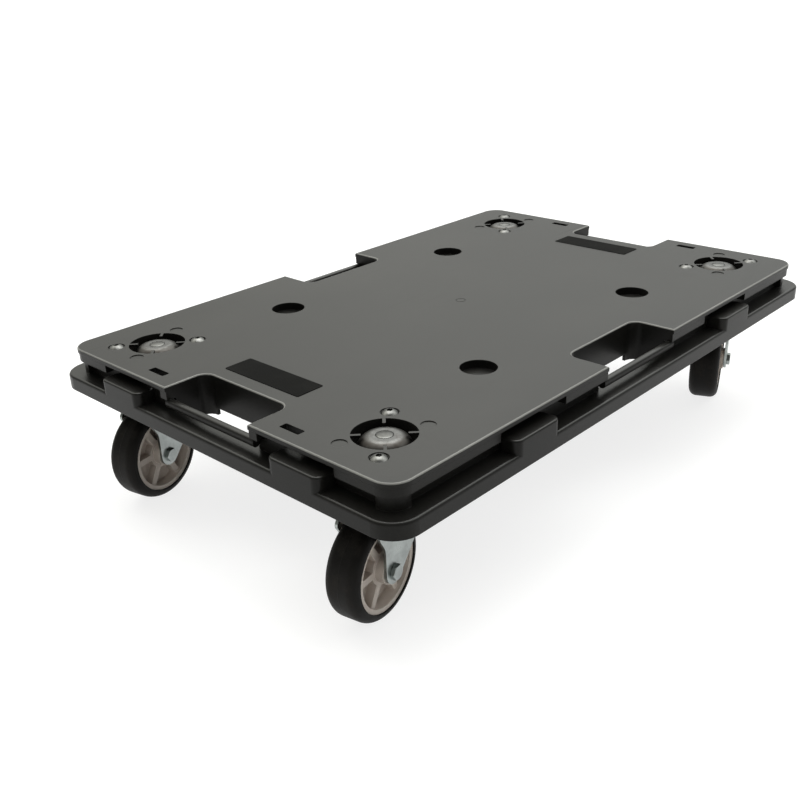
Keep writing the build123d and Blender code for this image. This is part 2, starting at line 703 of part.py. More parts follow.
def wheel_tyre():
    """Tyre with rounded shoulders, drawn on the Z axis."""
    half = WHEEL_WIDTH / 2
    tyre = post(WHEEL_R, -half, half)
    tyre = fillet(tyre.edges().filter_by(GeomType.CIRCLE), TYRE_SHOULDER_R)
    return tyre - post(RIM_R + PRESS_GAP, -half, half)


def fixed_at(corner, shape):
    """Place a shape drawn about a swivel axis, without turning it."""
    return Pos(*caster_place(corner), 0) * shape


def swivelled_at(corner, shape):
    """Place a caster piece that turns with the fork, at its drawn heading."""
    return fixed_at(corner, Rot(0, 0, CASTER_HEADINGS[corner]) * shape)


def grouped(solids):
    """Separate solids that share one node."""
    return Compound(children=solids)


def caster_nodes(corner):
    """Every node of one caster."""
    upper = ball_ring(UPPER_BALLS, UPPER_BALL_R, UPPER_PITCH_R, UPPER_BALL_Z)
    lower = ball_ring(LOWER_BALLS, LOWER_BALL_R, LOWER_PITCH_R, LOWER_BALL_Z)
    return {
        f"caster_plate_{corner}": fixed_at(corner, caster_plate()),
        f"kingpin_{corner}": fixed_at(corner, kingpin()),
        f"race_cup_{corner}": fixed_at(corner, race_cup()),
        f"upper_balls_{corner}": grouped([swivelled_at(corner, ball) for ball in upper]),
        f"lower_balls_{corner}": grouped([swivelled_at(corner, ball) for ball in lower]),
        f"fork_{corner}": swivelled_at(corner, fork()),
        f"axle_bolt_{corner}": swivelled_at(corner, on_axle(axle_bolt())),
        f"axle_nut_{corner}": swivelled_at(corner, on_axle(axle_nut())),
        f"axle_sleeve_{corner}": swivelled_at(corner, on_axle(axle_sleeve())),
        f"wheel_bush_{corner}": swivelled_at(corner, on_axle(wheel_bush())),
        f"wheel_rim_{corner}": swivelled_at(corner, on_axle(wheel_rim())),
        f"wheel_tyre_{corner}": swivelled_at(corner, on_axle(wheel_tyre())),
    }


def nodes():
    """Every node of the dolly by name."""
    places = [Pos(*place, 0) for place in all_bolt_places()]
    dolly = {
        "deck_moulding": deck_moulding(),
        "grip_pad_front": grip_pad(1),
        "grip_pad_rear": grip_pad(-1),
        "deck_bolts": grouped([place * deck_bolt() for place in places]),
        "plate_washers": grouped([place * plate_washer() for place in places]),
        "plate_nuts": grouped([place * plate_nut() for place in places]),
    }
    for corner in CORNERS:
        dolly.update(caster_nodes(corner))
    return dolly


def main():
    """Write one file for every node."""
    os.makedirs("parts", exist_ok=True)
    for name, shape in nodes().items():
        export_step(shape, f"parts/{name}.step")


main()
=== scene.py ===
"""Finishes, studio and camera of a black plastic platform dolly on swivel casters.

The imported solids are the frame: they are loaded first and never moved. This script gives every one
of them a procedural finish, adds the rolled threads that stand out of the nuts, and sets up a plain
white studio seen from the photograph's side. Metres throughout, +Z up, +X along the long side.
"""
import json
import logging
import math
from dataclasses import dataclass, field
from enum import Enum
from typing import Any, Mapping, Sequence

import bpy
import numpy as np
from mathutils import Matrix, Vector

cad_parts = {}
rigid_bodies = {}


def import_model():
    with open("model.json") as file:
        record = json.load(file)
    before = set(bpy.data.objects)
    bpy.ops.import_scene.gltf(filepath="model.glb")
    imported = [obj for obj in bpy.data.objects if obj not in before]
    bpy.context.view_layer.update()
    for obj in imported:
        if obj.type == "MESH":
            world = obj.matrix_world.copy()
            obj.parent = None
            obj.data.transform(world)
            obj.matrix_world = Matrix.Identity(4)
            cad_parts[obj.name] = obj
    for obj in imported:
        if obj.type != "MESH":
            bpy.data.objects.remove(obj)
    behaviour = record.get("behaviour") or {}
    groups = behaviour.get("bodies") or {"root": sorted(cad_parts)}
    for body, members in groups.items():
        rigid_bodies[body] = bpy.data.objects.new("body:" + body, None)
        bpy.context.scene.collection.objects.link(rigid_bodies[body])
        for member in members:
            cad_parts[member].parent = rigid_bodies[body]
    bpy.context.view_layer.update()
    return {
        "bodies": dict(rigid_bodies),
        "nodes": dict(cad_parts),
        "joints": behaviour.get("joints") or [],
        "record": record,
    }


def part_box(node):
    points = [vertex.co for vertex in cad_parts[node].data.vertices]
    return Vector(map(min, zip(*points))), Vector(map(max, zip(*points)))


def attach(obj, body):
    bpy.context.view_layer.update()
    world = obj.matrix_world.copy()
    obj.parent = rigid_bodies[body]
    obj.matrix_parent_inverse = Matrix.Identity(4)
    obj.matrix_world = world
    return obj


LOG = logging.getLogger("platform_dolly")
Colour = tuple[float, float, float]
Point = tuple[float, float, float]


class Corner(Enum):
    """The four caster corners, as the ends of their node names."""

    FRONT_LEFT = "front_left"
    FRONT_RIGHT = "front_right"
    REAR_LEFT = "rear_left"
    REAR_RIGHT = "rear_right"


HEADINGS_DEG: dict[Corner, float] = {Corner.FRONT_LEFT: 197.0, Corner.FRONT_RIGHT: 201.9,
                                     Corner.REAR_LEFT: 192.5, Corner.REAR_RIGHT: 190.0}


class Graph:
    """Node tree of one material or world, with a single method that makes nodes."""

    def __init__(self, tree: bpy.types.NodeTree) -> None:
        """Empty the tree.

        Args:
            tree: node tree to fill.
        """
        self.tree = tree
        self.tree.nodes.clear()

    def node(self, kind: str, settings: Mapping[str, Any] | None = None,
             inputs: Mapping[Any, Any] | None = None) -> bpy.types.Node:
        """Make a node, apply its settings and fill its sockets.

        Args:
            kind: type of the node without its common prefix.
            settings: attributes of the node.
            inputs: value or link of each socket, by name or number.

        Returns:
            The new node.
        """
        made = self.tree.nodes.new("ShaderNode" + kind)
        for key, value in (settings or {}).items():
            setattr(made, key, value)
        for key, value in (inputs or {}).items():
            self.feed(made.inputs[key], value)
        return made

    def feed(self, socket: bpy.types.NodeSocket, value: Any) -> None:
        """Link a socket to a wrapped value or another socket, or set it to a constant.

        Args:
            socket: input to fill.
            value: wrapped value, output socket, number or sequence of numbers.
        """
        if isinstance(value, Value):
            self.tree.links.new(value.socket, socket)
        elif isinstance(value, bpy.types.NodeSocket):
            self.tree.links.new(value, socket)
        elif socket.type == "RGBA" and len(value) == 3:
            socket.default_value = (*value, 1.0)
        else:
            socket.default_value = value

    def wrap(self, socket: bpy.types.NodeSocket) -> "Value":
        """Wrap an output so that it can be used in expressions."""
        return Value(self, socket)

    def noise(self, place: Any, scale: float, detail: float, rough: float = 0.5) -> "Value":
        """Noise between 0 and 1.

        Args:
            place: vector to read the noise at.
            scale: waves per metre.
            detail: number of finer layers.
            rough: weight of the finer layers.

        Returns:
            The noise value.
        """
        made = self.node("TexNoise", {"noise_dimensions": "3D"},
                         {"Vector": place, "Scale": scale, "Detail": detail, "Roughness": rough})
        return self.wrap(made.outputs["Fac"])

    def blend(self, share: Any, low: Any, high: Any) -> bpy.types.NodeSocket:
        """Colour between two colours.

        Args:
            share: 0 for the first colour and 1 for the second.
            low: first colour.
            high: second colour.

        Returns:
            Colour output of the mix.
        """
        made = self.node("Mix", {"data_type": "RGBA"}, {0: share, 6: low, 7: high})
        return made.outputs[2]

    def placed(self, place: Any, location: Point = (0, 0, 0), turn: Point = (0, 0, 0),
               scale: Point = (1, 1, 1), kind: str = "POINT") -> bpy.types.NodeSocket:
        """Centre, turn and stretch a pattern.

        Args:
            place: vector to map.
            location: shift of the pattern in metres.
            turn: rotation of the pattern in radians.
            scale: stretch of the pattern along each axis.
            kind: POINT to move the vector, TEXTURE to move the pattern.

        Returns:
            The mapped vector.
        """
        made = self.node("Mapping", {"vector_type": kind},
                         {"Vector": place, "Location": location, "Rotation": turn, "Scale": scale})
        return made.outputs[0]


class Value:
    """A number output that takes part in Python expressions; each operation adds a Math node."""

    def __init__(self, graph: Graph, socket: bpy.types.NodeSocket) -> None:
        """Keep the tree and the output.

        Args:
            graph: tree that the output belongs to.
            socket: output to wrap.
        """
        self.graph = graph
        self.socket = socket

    def math(self, operation: str, *others: Any, first: Any = None) -> "Value":
        """Add a Math node.

        Args:
            operation: name of the operation.
            others: the operands after the first.
            first: operand that takes this value's place, which then comes second.

        Returns:
            The result.
        """
        operands = [self, *others] if first is None else [first, self]
        made = self.graph.node("Math", {"operation": operation}, dict(enumerate(operands)))
        return Value(self.graph, made.outputs[0])

    def __add__(self, other: Any) -> "Value":
        """Sum."""
        return self.math("ADD", other)

    __radd__ = __add__

    def __sub__(self, other: Any) -> "Value":
        """Difference."""
        return self.math("SUBTRACT", other)

    def __rsub__(self, other: Any) -> "Value":
        """Reflected difference."""
        return self.math("SUBTRACT", first=other)

    def __mul__(self, other: Any) -> "Value":
        """Product."""
        return self.math("MULTIPLY", other)

    def __pow__(self, other: Any) -> "Value":
        """Power."""
        return self.math("POWER", other)

    def wave(self, length: float) -> "Value":
        """Sine of this value with the given wave length, between -1 and 1."""
        return (self * (2 * math.pi / length)).math("SINE")

    def step(self, low: float, high: float) -> "Value":
        """Smooth step from 0 at low to 1 at high, which may be the smaller.

        Args:
            low: value that gives 0.
            high: value that gives 1.

        Returns:
            The stepped value.
        """
        made = self.graph.node("MapRange", {"interpolation_type": "SMOOTHSTEP"},
                               {"Value": self, "From Min": low, "From Max": high})
        return Value(self.graph, made.outputs[0])


class Finish:
    """Common part of the finishes: a material with one surface shader and its edge normal."""

    def open(self, name: str) -> tuple[bpy.types.Material, Graph]:
        """Make an empty material.

        Args:
            name: name of the material.

        Returns:
            The material and its tree.
        """
        material = bpy.data.materials.new(name)
        material.use_nodes = True
        return material, Graph(material.node_tree)

    def place(self, graph: Graph) -> bpy.types.NodeSocket:
        """Object coordinates, which are metres in the part's own frame."""
        return graph.node("TexCoord").outputs["Object"]

    def edges(self, graph: Graph, radius: float) -> tuple[bpy.types.NodeSocket, Value]:
        """Softened edges and a mask of where they are.

        The mask is a smooth step of one minus the cosine between the softened and the true normal.

        Args:
            graph: tree of the material.
            radius: edge radius in metres.

        Returns:
            The softened normal and the edge mask from 0 to 1.
        """
        soft = graph.node("Bevel", {"samples": 6}, {"Radius": radius}).outputs[0]
        true = graph.node("NewGeometry").outputs["Normal"]
        same = graph.node("VectorMath", {"operation": "DOT_PRODUCT"}, {0: soft, 1: true})
        mask = (1 - graph.wrap(same.outputs["Value"])).step(0.01, 0.16)
        return soft, mask

    def bump(self, graph: Graph, height: Value, depth: float, normal: Any) -> bpy.types.NodeSocket:
        """Relief on the surface.

        Args:
            graph: tree of the material.
            height: relief from 0 to 1.
            depth: depth of the relief in metres.
            normal: normal below the relief.

        Returns:
            The normal with the relief.
        """
        made = graph.node("Bump", None, {"Height": height, "Distance": depth, "Normal": normal})
        return made.outputs[0]

    def close(self, graph: Graph, inputs: Mapping[str, Any]) -> None:
        """Add the surface shader and the output.

        Args:
            graph: tree of the material.
            inputs: values and links of the shader's sockets.
        """
        surface = graph.node("BsdfPrincipled", None, inputs)
        graph.node("OutputMaterial", None, {"Surface": surface.outputs[0]})


@dataclass(frozen=True)
class MouldedPlastic(Finish):
    """Satin moulded plastic: fine grain, slow flow marks, faint rub marks and worn edges.

    Faces that look up carry a glossier skin, polished by what slides over them, and the rounded edge
    just below the top height carries a painted highlight: a pale line painted into the colour.
    """

    name: str
    colour: Colour
    pale: Colour
    roughness: float
    flow_per_m: float = 5.0
    speck_per_m: float = 420.0
    grain_per_m: float = 1500.0
    grain_depth: float = 0.00004
    edge_radius: float = 0.0009
    rub: float = 0.08
    specular: float = 0.5
    skin: float = 0.0
    skin_roughness: float = 0.27
    top_z: float = 10.0
    # Height band and pale colour of a painted highlight on the rounded edge just below top_z.
    highlight_drop: float = 0.0022
    highlight_colour: Colour = (0.20, 0.198, 0.19)

    def material(self) -> bpy.types.Material:
        """Build the finish.

        Returns:
            The material.
        """
        material, graph = self.open(self.name)
        place = self.place(graph)
        soft, edge = self.edges(graph, self.edge_radius)
        flow = graph.noise(graph.placed(place, scale=(1.0, 1.6, 1.0)), self.flow_per_m, 4.0)
        speck = graph.noise(place, self.speck_per_m, 2.0)
        grain = graph.noise(place, self.grain_per_m, 2.0, 0.6)
        lengthwise = graph.noise(graph.placed(place, turn=(0, 0, 0.3), scale=(6, 210, 6)), 1.0, 3.0)
        crosswise = graph.noise(graph.placed(place, turn=(0, 0, -0.5), scale=(260, 7, 7)), 1.0, 3.0)
        rubbed = (lengthwise.step(0.62, 0.78) + crosswise.step(0.66, 0.80)) * self.rub
        share = flow.step(0.3, 0.75) * 0.45 + (speck - 0.5) * 0.5 + edge * 0.35 + rubbed
        rough = self.roughness + (flow - 0.5) * 0.10 + (speck - 0.5) * 0.06 + rubbed * 0.6
        facing = graph.node("SeparateXYZ", None, {0: graph.node("NewGeometry").outputs["Normal"]})
        up = graph.wrap(facing.outputs["Z"])
        polished = up.step(0.5, 0.95) * (1 - rubbed * 2.0)
        height = graph.wrap(graph.node("SeparateXYZ", None, {0: place}).outputs["Z"])
        # Painted highlight: sloping faces in the band just below the top height, the rounded top edge, are
        # painted pale.
        near_top = height.step(self.top_z - self.highlight_drop, self.top_z - self.highlight_drop / 2)
        edge_highlight = near_top * up.step(0.2, 0.5) * up.step(0.995, 0.93)
        body = graph.blend(share.step(-0.05, 1.05), self.colour, self.pale)
        self.close(graph, {
            # Body colour with the painted highlight on the rounded top edge.
            "Base Color": graph.blend(edge_highlight * (0.55 + flow * 0.6), body, self.highlight_colour),
            "Roughness": rough,
            "Specular IOR Level": self.specular,
            "Coat Weight": polished * self.skin,
            "Coat Roughness": self.skin_roughness,
            "Normal": self.bump(graph, grain, self.grain_depth, soft),
        })
        return material


@dataclass(frozen=True)
class RibbedRubber(Finish):
    """Dull rubber pad with fine cross ribs."""

    name: str
    colour: Colour
    pale: Colour
    roughness: float = 0.78
    specular: float = 0.04
    rib_pitch: float = 0.0024
    rib_depth: float = 0.00012
    grain_per_m: float = 1800.0
    dust_per_m: float = 30.0
    edge_radius: float = 0.0005

    def material(self) -> bpy.types.Material:
        """Build the finish: ribs are a sine along the pad with a fine grain on top.

        Returns:
            The material.
        """
        material, graph = self.open(self.name)
        place = self.place(graph)
        soft, edge = self.edges(graph, self.edge_radius)
        along = graph.wrap(graph.node("SeparateXYZ", None, {0: place}).outputs["Y"])
        ribs = along.wave(self.rib_pitch) * 0.5 + 0.5
        grain = graph.noise(place, self.grain_per_m, 2.0)
        dust = graph.noise(place, self.dust_per_m, 4.0)
        share = ribs * 0.35 + dust.step(0.4, 0.8) * 0.35 + edge * 0.3
        self.close(graph, {
            "Base Color": graph.blend(share.step(0.0, 1.0), self.colour, self.pale),
            "Roughness": self.roughness + (grain - 0.5) * 0.15,
            "Specular IOR Level": self.specular,
            "Normal": self.bump(graph, ribs + grain * 0.5, self.rib_depth, soft),
        })
        return material


@dataclass(frozen=True)
class PlatedSteel(Finish):
    """Plated steel: cloudy plating, fine rolling lines, brighter worn edges, painted shade below a height.
    """

    name: str
    colour: Colour
    dull: Colour
    roughness: float
    line_depth: float = 0.000012
    edge_radius: float = 0.0007
    spangle_per_m: float = 310.0
    cloud_per_m: float = 55.0
    # Below this height the colour is painted darker as shade at the dome's foot in its well, and the
    # plating is rougher.
    shade_below_z: float = -1.0
    shade_fade: float = 0.001
    shade_colour: Colour = (0.022, 0.019, 0.016)

    def material(self) -> bpy.types.Material:
        """Build the finish.

        Returns:
            The material.
        """
        material, graph = self.open(self.name)
        place = self.place(graph)
        soft, edge = self.edges(graph, self.edge_radius)
        cloud = graph.noise(place, self.cloud_per_m, 4.0, 0.6)
        spangle = graph.node("TexVoronoi", {"feature": "F1"},
                             {"Vector": place, "Scale": self.spangle_per_m})
        cell = graph.wrap(spangle.outputs["Distance"])
        lines = graph.noise(graph.placed(place, turn=(0, 0, 0.2), scale=(40, 1500, 1500)), 1.0, 2.0)
        share = cloud.step(0.3, 0.72) * 0.6 + cell * 0.25 - edge * 0.4
        height = graph.wrap(graph.node("SeparateXYZ", None, {0: place}).outputs["Z"])
        ragged = height + (cloud - 0.5) * 3 * self.shade_fade
        # Painted shade: darker colour below the height, with a ragged edge; the same mask also raises the
        # roughness.
        foot_shade = ragged.step(self.shade_below_z + self.shade_fade, self.shade_below_z - self.shade_fade)
        rough = self.roughness + (cloud - 0.5) * 0.16 + (lines - 0.5) * 0.08 + foot_shade * 0.2
        plating = graph.blend(share.step(0.0, 1.0), self.colour, self.dull)
        self.close(graph, {
            # Plating with the painted shade below the height.
            "Base Color": graph.blend(foot_shade * 0.85, plating, self.shade_colour),
            "Metallic": 1.0,
            "Roughness": rough,
            "Normal": self.bump(graph, lines + cell * 0.4, self.line_depth, soft),
        })
        return material


@dataclass(frozen=True)
class WheelFinish(Finish):
    """Common part of the finishes that turn about one wheel's axle."""

    name: str
    colour: Colour
    pale: Colour
    centre: Point
    heading: float

    def wheel_place(self, graph: Graph) -> tuple[bpy.types.NodeSocket, Value, Value]:
        """Coordinates about the axle.

        Args:
            graph: tree of the material.

        Returns:
            The vector in the wheel's own frame, the distance along the axle and the distance from it.
        """
        local = graph.placed(self.place(graph), self.centre, (0, 0, self.heading), kind="TEXTURE")
        parts = graph.node("SeparateXYZ", None, {0: local})
        across = graph.wrap(parts.outputs["X"])
        axial = graph.wrap(parts.outputs["Y"])
        up = graph.wrap(parts.outputs["Z"])
        return local, axial, (across * across + up * up) ** 0.5


@dataclass(frozen=True)
class TyreRubber(WheelFinish):
    """Tyre rubber: mould seam and fine turned lines, with floor dust on the tread."""

    roughness: float = 0.52
    specular: float = 0.13
    shoulder_r: float = 0.0465
    tread_r: float = 0.0495
    line_pitch: float = 0.0013
    seam_half: float = 0.0006
    seam_flat: float = 0.0002
    grain_per_m: float = 1300.0
    dust_per_m: float = 60.0
    relief: float = 0.00006
    edge_radius: float = 0.0008

    def material(self) -> bpy.types.Material:
        """Build the finish: lines are a sine of the distance from the axle plus that along it.

        Returns:
            The material.
        """
        material, graph = self.open(self.name)
        local, axial, radius = self.wheel_place(graph)
        soft, edge = self.edges(graph, self.edge_radius)
        lines = (axial + radius).wave(self.line_pitch) * 0.5 + 0.5
        seam = axial.math("ABSOLUTE").step(self.seam_half, self.seam_flat)
        grain = graph.noise(local, self.grain_per_m, 2.0)
        dust = graph.noise(local, self.dust_per_m, 5.0, 0.65).step(0.38, 0.72)
        tread = radius.step(self.shoulder_r, self.tread_r)
        share = dust * (0.25 + tread * 0.55) + edge * 0.15 + lines * 0.08
        height = lines * 0.4 + grain * 0.6 + seam * 1.5
        self.close(graph, {
            "Base Color": graph.blend(share.step(0.0, 1.0), self.colour, self.pale),
            "Roughness": self.roughness + dust * 0.16 + (grain - 0.5) * 0.1,
            "Specular IOR Level": self.specular,
            "Normal": self.bump(graph, height, self.relief, soft),
        })
        return material


@dataclass(frozen=True)
class WheelPlastic(WheelFinish):
    """Moulded wheel centre: fine grain, cloudy flow marks, and painted shade in hollows and at the hub."""

    roughness: float = 0.5
    hub_r: float = 0.013
    ring_r: float = 0.0363
    face_half: float = 0.0105
    web_half: float = 0.003
    grain_per_m: float = 1500.0
    flow_per_m: float = 35.0
    relief: float = 0.00004
    edge_radius: float = 0.0008

    def material(self) -> bpy.types.Material:
        """Build the finish.

        Returns:
            The material.
        """
        material, graph = self.open(self.name)
        local, axial, radius = self.wheel_place(graph)
        soft, edge = self.edges(graph, self.edge_radius)
        grain = graph.noise(local, self.grain_per_m, 2.0)
        flow = graph.noise(local, self.flow_per_m, 4.0)
        # Painted shade: darker in the hollows near the web and towards the hub; the rest is paler.
        deep = axial.math("ABSOLUTE").step(self.face_half, self.web_half)
        hollow_shade = deep * 0.5 + radius.step(self.ring_r, self.hub_r) * 0.25
        share = flow.step(0.3, 0.75) * 0.45 + edge * 0.5 + (1 - hollow_shade) * 0.4 - 0.2
        self.close(graph, {
            "Base Color": graph.blend(share.step(0.0, 1.0), self.colour, self.pale),
            "Roughness": self.roughness + (flow - 0.5) * 0.12 + (grain - 0.5) * 0.08,
            "Normal": self.bump(graph, grain, self.relief, soft),
        })
        return material


ZINC_STEEL = PlatedSteel("zinc_steel", (0.38, 0.41, 0.40), (0.26, 0.28, 0.273), 0.30)
# Top plate: plating darker than the fork's, standing in for the shade in its well, with painted shade at
# the dome's foot below 0.1616 m.
PLATE_STEEL = PlatedSteel("plate_steel", (0.17, 0.172, 0.174), (0.06, 0.056, 0.053), 0.20,
                          cloud_per_m=110.0, shade_below_z=0.1616)
BRIGHT_STEEL = PlatedSteel("bright_steel", (0.12, 0.12, 0.116), (0.06, 0.06, 0.058), 0.22)
BUSH_PLASTIC = MouldedPlastic("bush_plastic", (0.60, 0.58, 0.53), (0.70, 0.68, 0.63), 0.35)


@dataclass
class Shape:
    """A mesh worked out as whole arrays of points and faces."""

    points: np.ndarray
    faces: np.ndarray

    @staticmethod
    def tube(x: np.ndarray, y: np.ndarray, z: np.ndarray) -> "Shape":
        """Closed tube from grids of points, with one ring of points in each row.

        The last point of a ring joins its first, and the two end rings are closed by a fan about
        their middle.

        Args:
            x: first coordinate, rings by points of a ring.
            y: second coordinate, as x.
            z: third coordinate, as x.

        Returns:
            The tube as triangles that point outwards when the rings turn left along +Z.
        """
        rings, around = x.shape
        grid = np.stack([x, y, z], axis=-1).reshape(-1, 3)
        ends = np.stack([grid[:around].mean(0), grid[-around:].mean(0)])
        index = np.arange(rings * around).reshape(rings, around)
        near, far = index[:-1], index[1:]
        quads = [near, np.roll(near, -1, 1), np.roll(far, -1, 1), far]
        a, b, c, d = (part.ravel() for part in quads)
        first, last = np.full(around, rings * around), np.full(around, rings * around + 1)
        faces = np.concatenate([
            np.stack([a, b, c], 1), np.stack([a, c, d], 1),
            np.stack([np.roll(index[0], -1), index[0], first], 1),
            np.stack([index[-1], np.roll(index[-1], -1), last], 1),
        ])
        return Shape(np.concatenate([grid, ends]), faces)

    def moved(self, matrix: np.ndarray, shift: Sequence[float]) -> "Shape":
        """Turn the shape by a matrix, then shift it."""
        return Shape(self.points @ matrix.T + np.asarray(shift, float), self.faces)

    @staticmethod
    def joined(shapes: Sequence["Shape"]) -> "Shape":
        """Several shapes as one."""
        starts = np.cumsum([0] + [len(shape.points) for shape in shapes[:-1]])
        points = np.concatenate([shape.points for shape in shapes])
        return Shape(points, np.concatenate([s.faces + n for s, n in zip(shapes, starts)]))

    def piece(self, name: str, material: bpy.types.Material) -> bpy.types.Object:
        """Put the shape into the scene at the origin.

        Args:
            name: name of the piece.
            material: its finish.

        Returns:
            The object.
        """
        mesh = bpy.data.meshes.new(name)
        mesh.from_pydata(self.points.tolist(), [], self.faces.tolist())
        mesh.polygons.foreach_set("use_smooth", np.ones(len(self.faces), bool))
        mesh.materials.append(material)
        made = bpy.data.objects.new(name, mesh)
        bpy.context.scene.collection.objects.link(made)
        return made


@dataclass
class RolledThread:
    """Rolled thread on the tail of a bolt that stands out of its nut."""

    root_r: float = 0.00402
    crest_r: float = 0.00432
    pitch: float = 0.00125
    length: float = 0.0018
    runout_pitches: float = 0.35
    around: int = 28
    rings: int = 19

    def shape(self) -> Shape:
        """Thread on the Z axis from 0 down to its length.

        The radius is the root plus the thread depth times a triangle wave of height over pitch minus
        the turn about the axis, and it fades to the root at the free end.

        Returns:
            The thread as a closed tube.
        """
        turn = np.linspace(0, 2 * np.pi, self.around, endpoint=False)[None, :]
        drop = np.linspace(self.length, 0, self.rings)[:, None]
        phase = np.mod(drop / self.pitch + turn / (2 * np.pi), 1.0)
        ridge = 1 - 2 * np.abs(phase - 0.5)
        fade = np.clip((self.length - drop) / (self.runout_pitches * self.pitch), 0, 1)
        radius = self.root_r + (self.crest_r - self.root_r) * ridge * fade
        return Shape.tube(radius * np.cos(turn), radius * np.sin(turn), -drop + 0 * turn)


@dataclass
class Deck:
    """The moulded deck with its pads and the bolts that hold the casters."""

    body: str = "deck"
    plastic: MouldedPlastic = MouldedPlastic(
        "deck_plastic", (0.0078, 0.0075, 0.0069), (0.021, 0.0202, 0.0186), 0.32, specular=0.13, skin=0.22,
        top_z=0.163)
    pad: RibbedRubber = RibbedRubber("pad_rubber", (0.0038, 0.0038, 0.0036), (0.0105, 0.0105, 0.0099))
    mouldings: tuple[str, ...] = ("deck_moulding",)
    pads: tuple[str, ...] = ("grip_pad_front", "grip_pad_rear")
    fasteners: tuple[str, ...] = ("deck_bolts", "plate_washers", "plate_nuts")
    bolt_head_r: float = 0.008
    bolts_along: float = 0.066
    bolts_across: float = 0.051
    thread: RolledThread = field(default_factory=RolledThread)

    def dress(self, frame: Mapping[str, Any], bright: bpy.types.Material) -> None:
        """Give each node of the deck its finish.

        Args:
            frame: the loaded frame.
            bright: finish of the fasteners.
        """
        for nodes, finish in ((self.mouldings, self.plastic.material()), (self.pads, self.pad.material()),
                              (self.fasteners, bright)):
            for node in nodes:
                dress_node(frame["nodes"][node], finish)
        LOG.info("dressed %s", self.body)

    def add_threads(self, bright: bpy.types.Material) -> None:
        """Put a thread on the tail of every deck bolt.

        Args:
            bright: finish of the fasteners.
        """
        _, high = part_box("deck_bolts")
        nut_low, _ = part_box("plate_nuts")
        thread = self.thread.shape()
        shapes = [thread.moved(np.eye(3), (x, y, nut_low[2])) for x, y in self.bolt_places(high)]
        piece = Shape.joined(shapes).piece("deck_bolt_threads", bright)
        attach(piece, self.body)
        LOG.info("added %s on %d bolts", piece.name, len(shapes))

    def bolt_places(self, high: Sequence[float]) -> list[tuple[float, float]]:
        """Plan positions of the bolts from the box round all of them.

        Args:
            high: highest corner of the box.

        Returns:
            The axis of each bolt.
        """
        x, y = high[0] - self.bolt_head_r, high[1] - self.bolt_head_r
        places = [(x, y), (x - self.bolts_along, y - self.bolts_across)]
        return [(sx * px, sy * py) for sx in (1, -1) for sy in (1, -1) for px, py in places]


@dataclass
class Caster:
    """One swivel caster: plate, bearing, fork, axle and wheel."""

    corner: Corner
    heading_deg: float
    steel: tuple[str, ...] = ("fork", "race_cup", "axle_sleeve", "axle_bolt", "axle_nut")
    dark: tuple[str, ...] = ("caster_plate",)
    bright: tuple[str, ...] = ("kingpin", "upper_balls", "lower_balls")
    bushes: tuple[str, ...] = ("wheel_bush",)
    tyre_colours: tuple[Colour, Colour] = ((0.0045, 0.0039, 0.0034), (0.015, 0.0128, 0.011))
    rim_colours: tuple[Colour, Colour] = ((0.46, 0.40, 0.36), (0.82, 0.74, 0.68))
    nut_face: float = 0.0299
    thread: RolledThread = field(default_factory=RolledThread)

    def node(self, frame: Mapping[str, Any], piece: str) -> bpy.types.Object:
        """Object of one of this caster's nodes."""
        return frame["nodes"][f"{piece}_{self.corner.value}"]

    def wheel_centre(self) -> Point:
        """Middle of the wheel, from the box of its tyre."""
        low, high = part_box(f"wheel_tyre_{self.corner.value}")
        return tuple((low + high) / 2)

    def dress(self, frame: Mapping[str, Any], steel: bpy.types.Material, dark: bpy.types.Material,
              bright: bpy.types.Material, bush: bpy.types.Material) -> None:
        """Give each node of the caster its finish.

        Args:
            frame: the loaded frame.
            steel: finish of the stamped pieces and the axle.
            dark: finish of the top plate.
            bright: finish of the kingpin and balls.
            bush: finish of the wheel bush.
        """
        for pieces, finish in ((self.steel, steel), (self.dark, dark), (self.bright, bright),
                               (self.bushes, bush)):
            for piece in pieces:
                dress_node(self.node(frame, piece), finish)
        name, centre, heading = self.corner.value, self.wheel_centre(), math.radians(self.heading_deg)
        tyre = TyreRubber(f"tyre_{name}", *self.tyre_colours, centre, heading)
        rim = WheelPlastic(f"rim_{name}", *self.rim_colours, centre, heading)
        dress_node(self.node(frame, "wheel_tyre"), tyre.material())
        dress_node(self.node(frame, "wheel_rim"), rim.material())

    def add_thread(self, steel: bpy.types.Material) -> None:
        """Put a thread on the axle bolt's tail, which points away from the head.

        Args:
            steel: finish of the axle bolt.
        """
        turn = math.radians(self.heading_deg)
        tail = np.array([math.sin(turn), -math.cos(turn), 0.0])
        side = np.array([math.cos(turn), math.sin(turn), 0.0])
        matrix = np.stack([side, np.cross(-tail, side), -tail], axis=1)
        centre = np.array(self.wheel_centre())
        shape = self.thread.shape().moved(matrix, centre + tail * self.nut_face)
        piece = shape.piece(f"axle_thread_{self.corner.value}", steel)
        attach(piece, f"swivel_{self.corner.value}")
        LOG.info("added %s", piece.name)


def dress_node(node: bpy.types.Object, material: bpy.types.Material) -> None:
    """Give a node a finish in place of its own.

    Args:
        node: object of the node.
        material: its finish.
    """
    node.data.materials.clear()
    node.data.materials.append(material)


@dataclass(frozen=True)
class SoftLamp:
    """Square lamp that faces the middle of the dolly."""

    name: str
    location: Point
    watts: float
    size: float = 1.6
    aim: Point = (0, 0, 0.1)

    def hang(self) -> None:
        """Put the lamp into the scene."""
        lamp = bpy.data.lights.new(self.name, "AREA")
        lamp.size, lamp.energy = self.size, self.watts
        made = bpy.data.objects.new(self.name, lamp)
        made.location = self.location
        away = made.location - Vector(self.aim)
        made.rotation_mode = "QUATERNION"
        made.rotation_quaternion = away.to_track_quat("Z", "Y")
        bpy.context.scene.collection.objects.link(made)


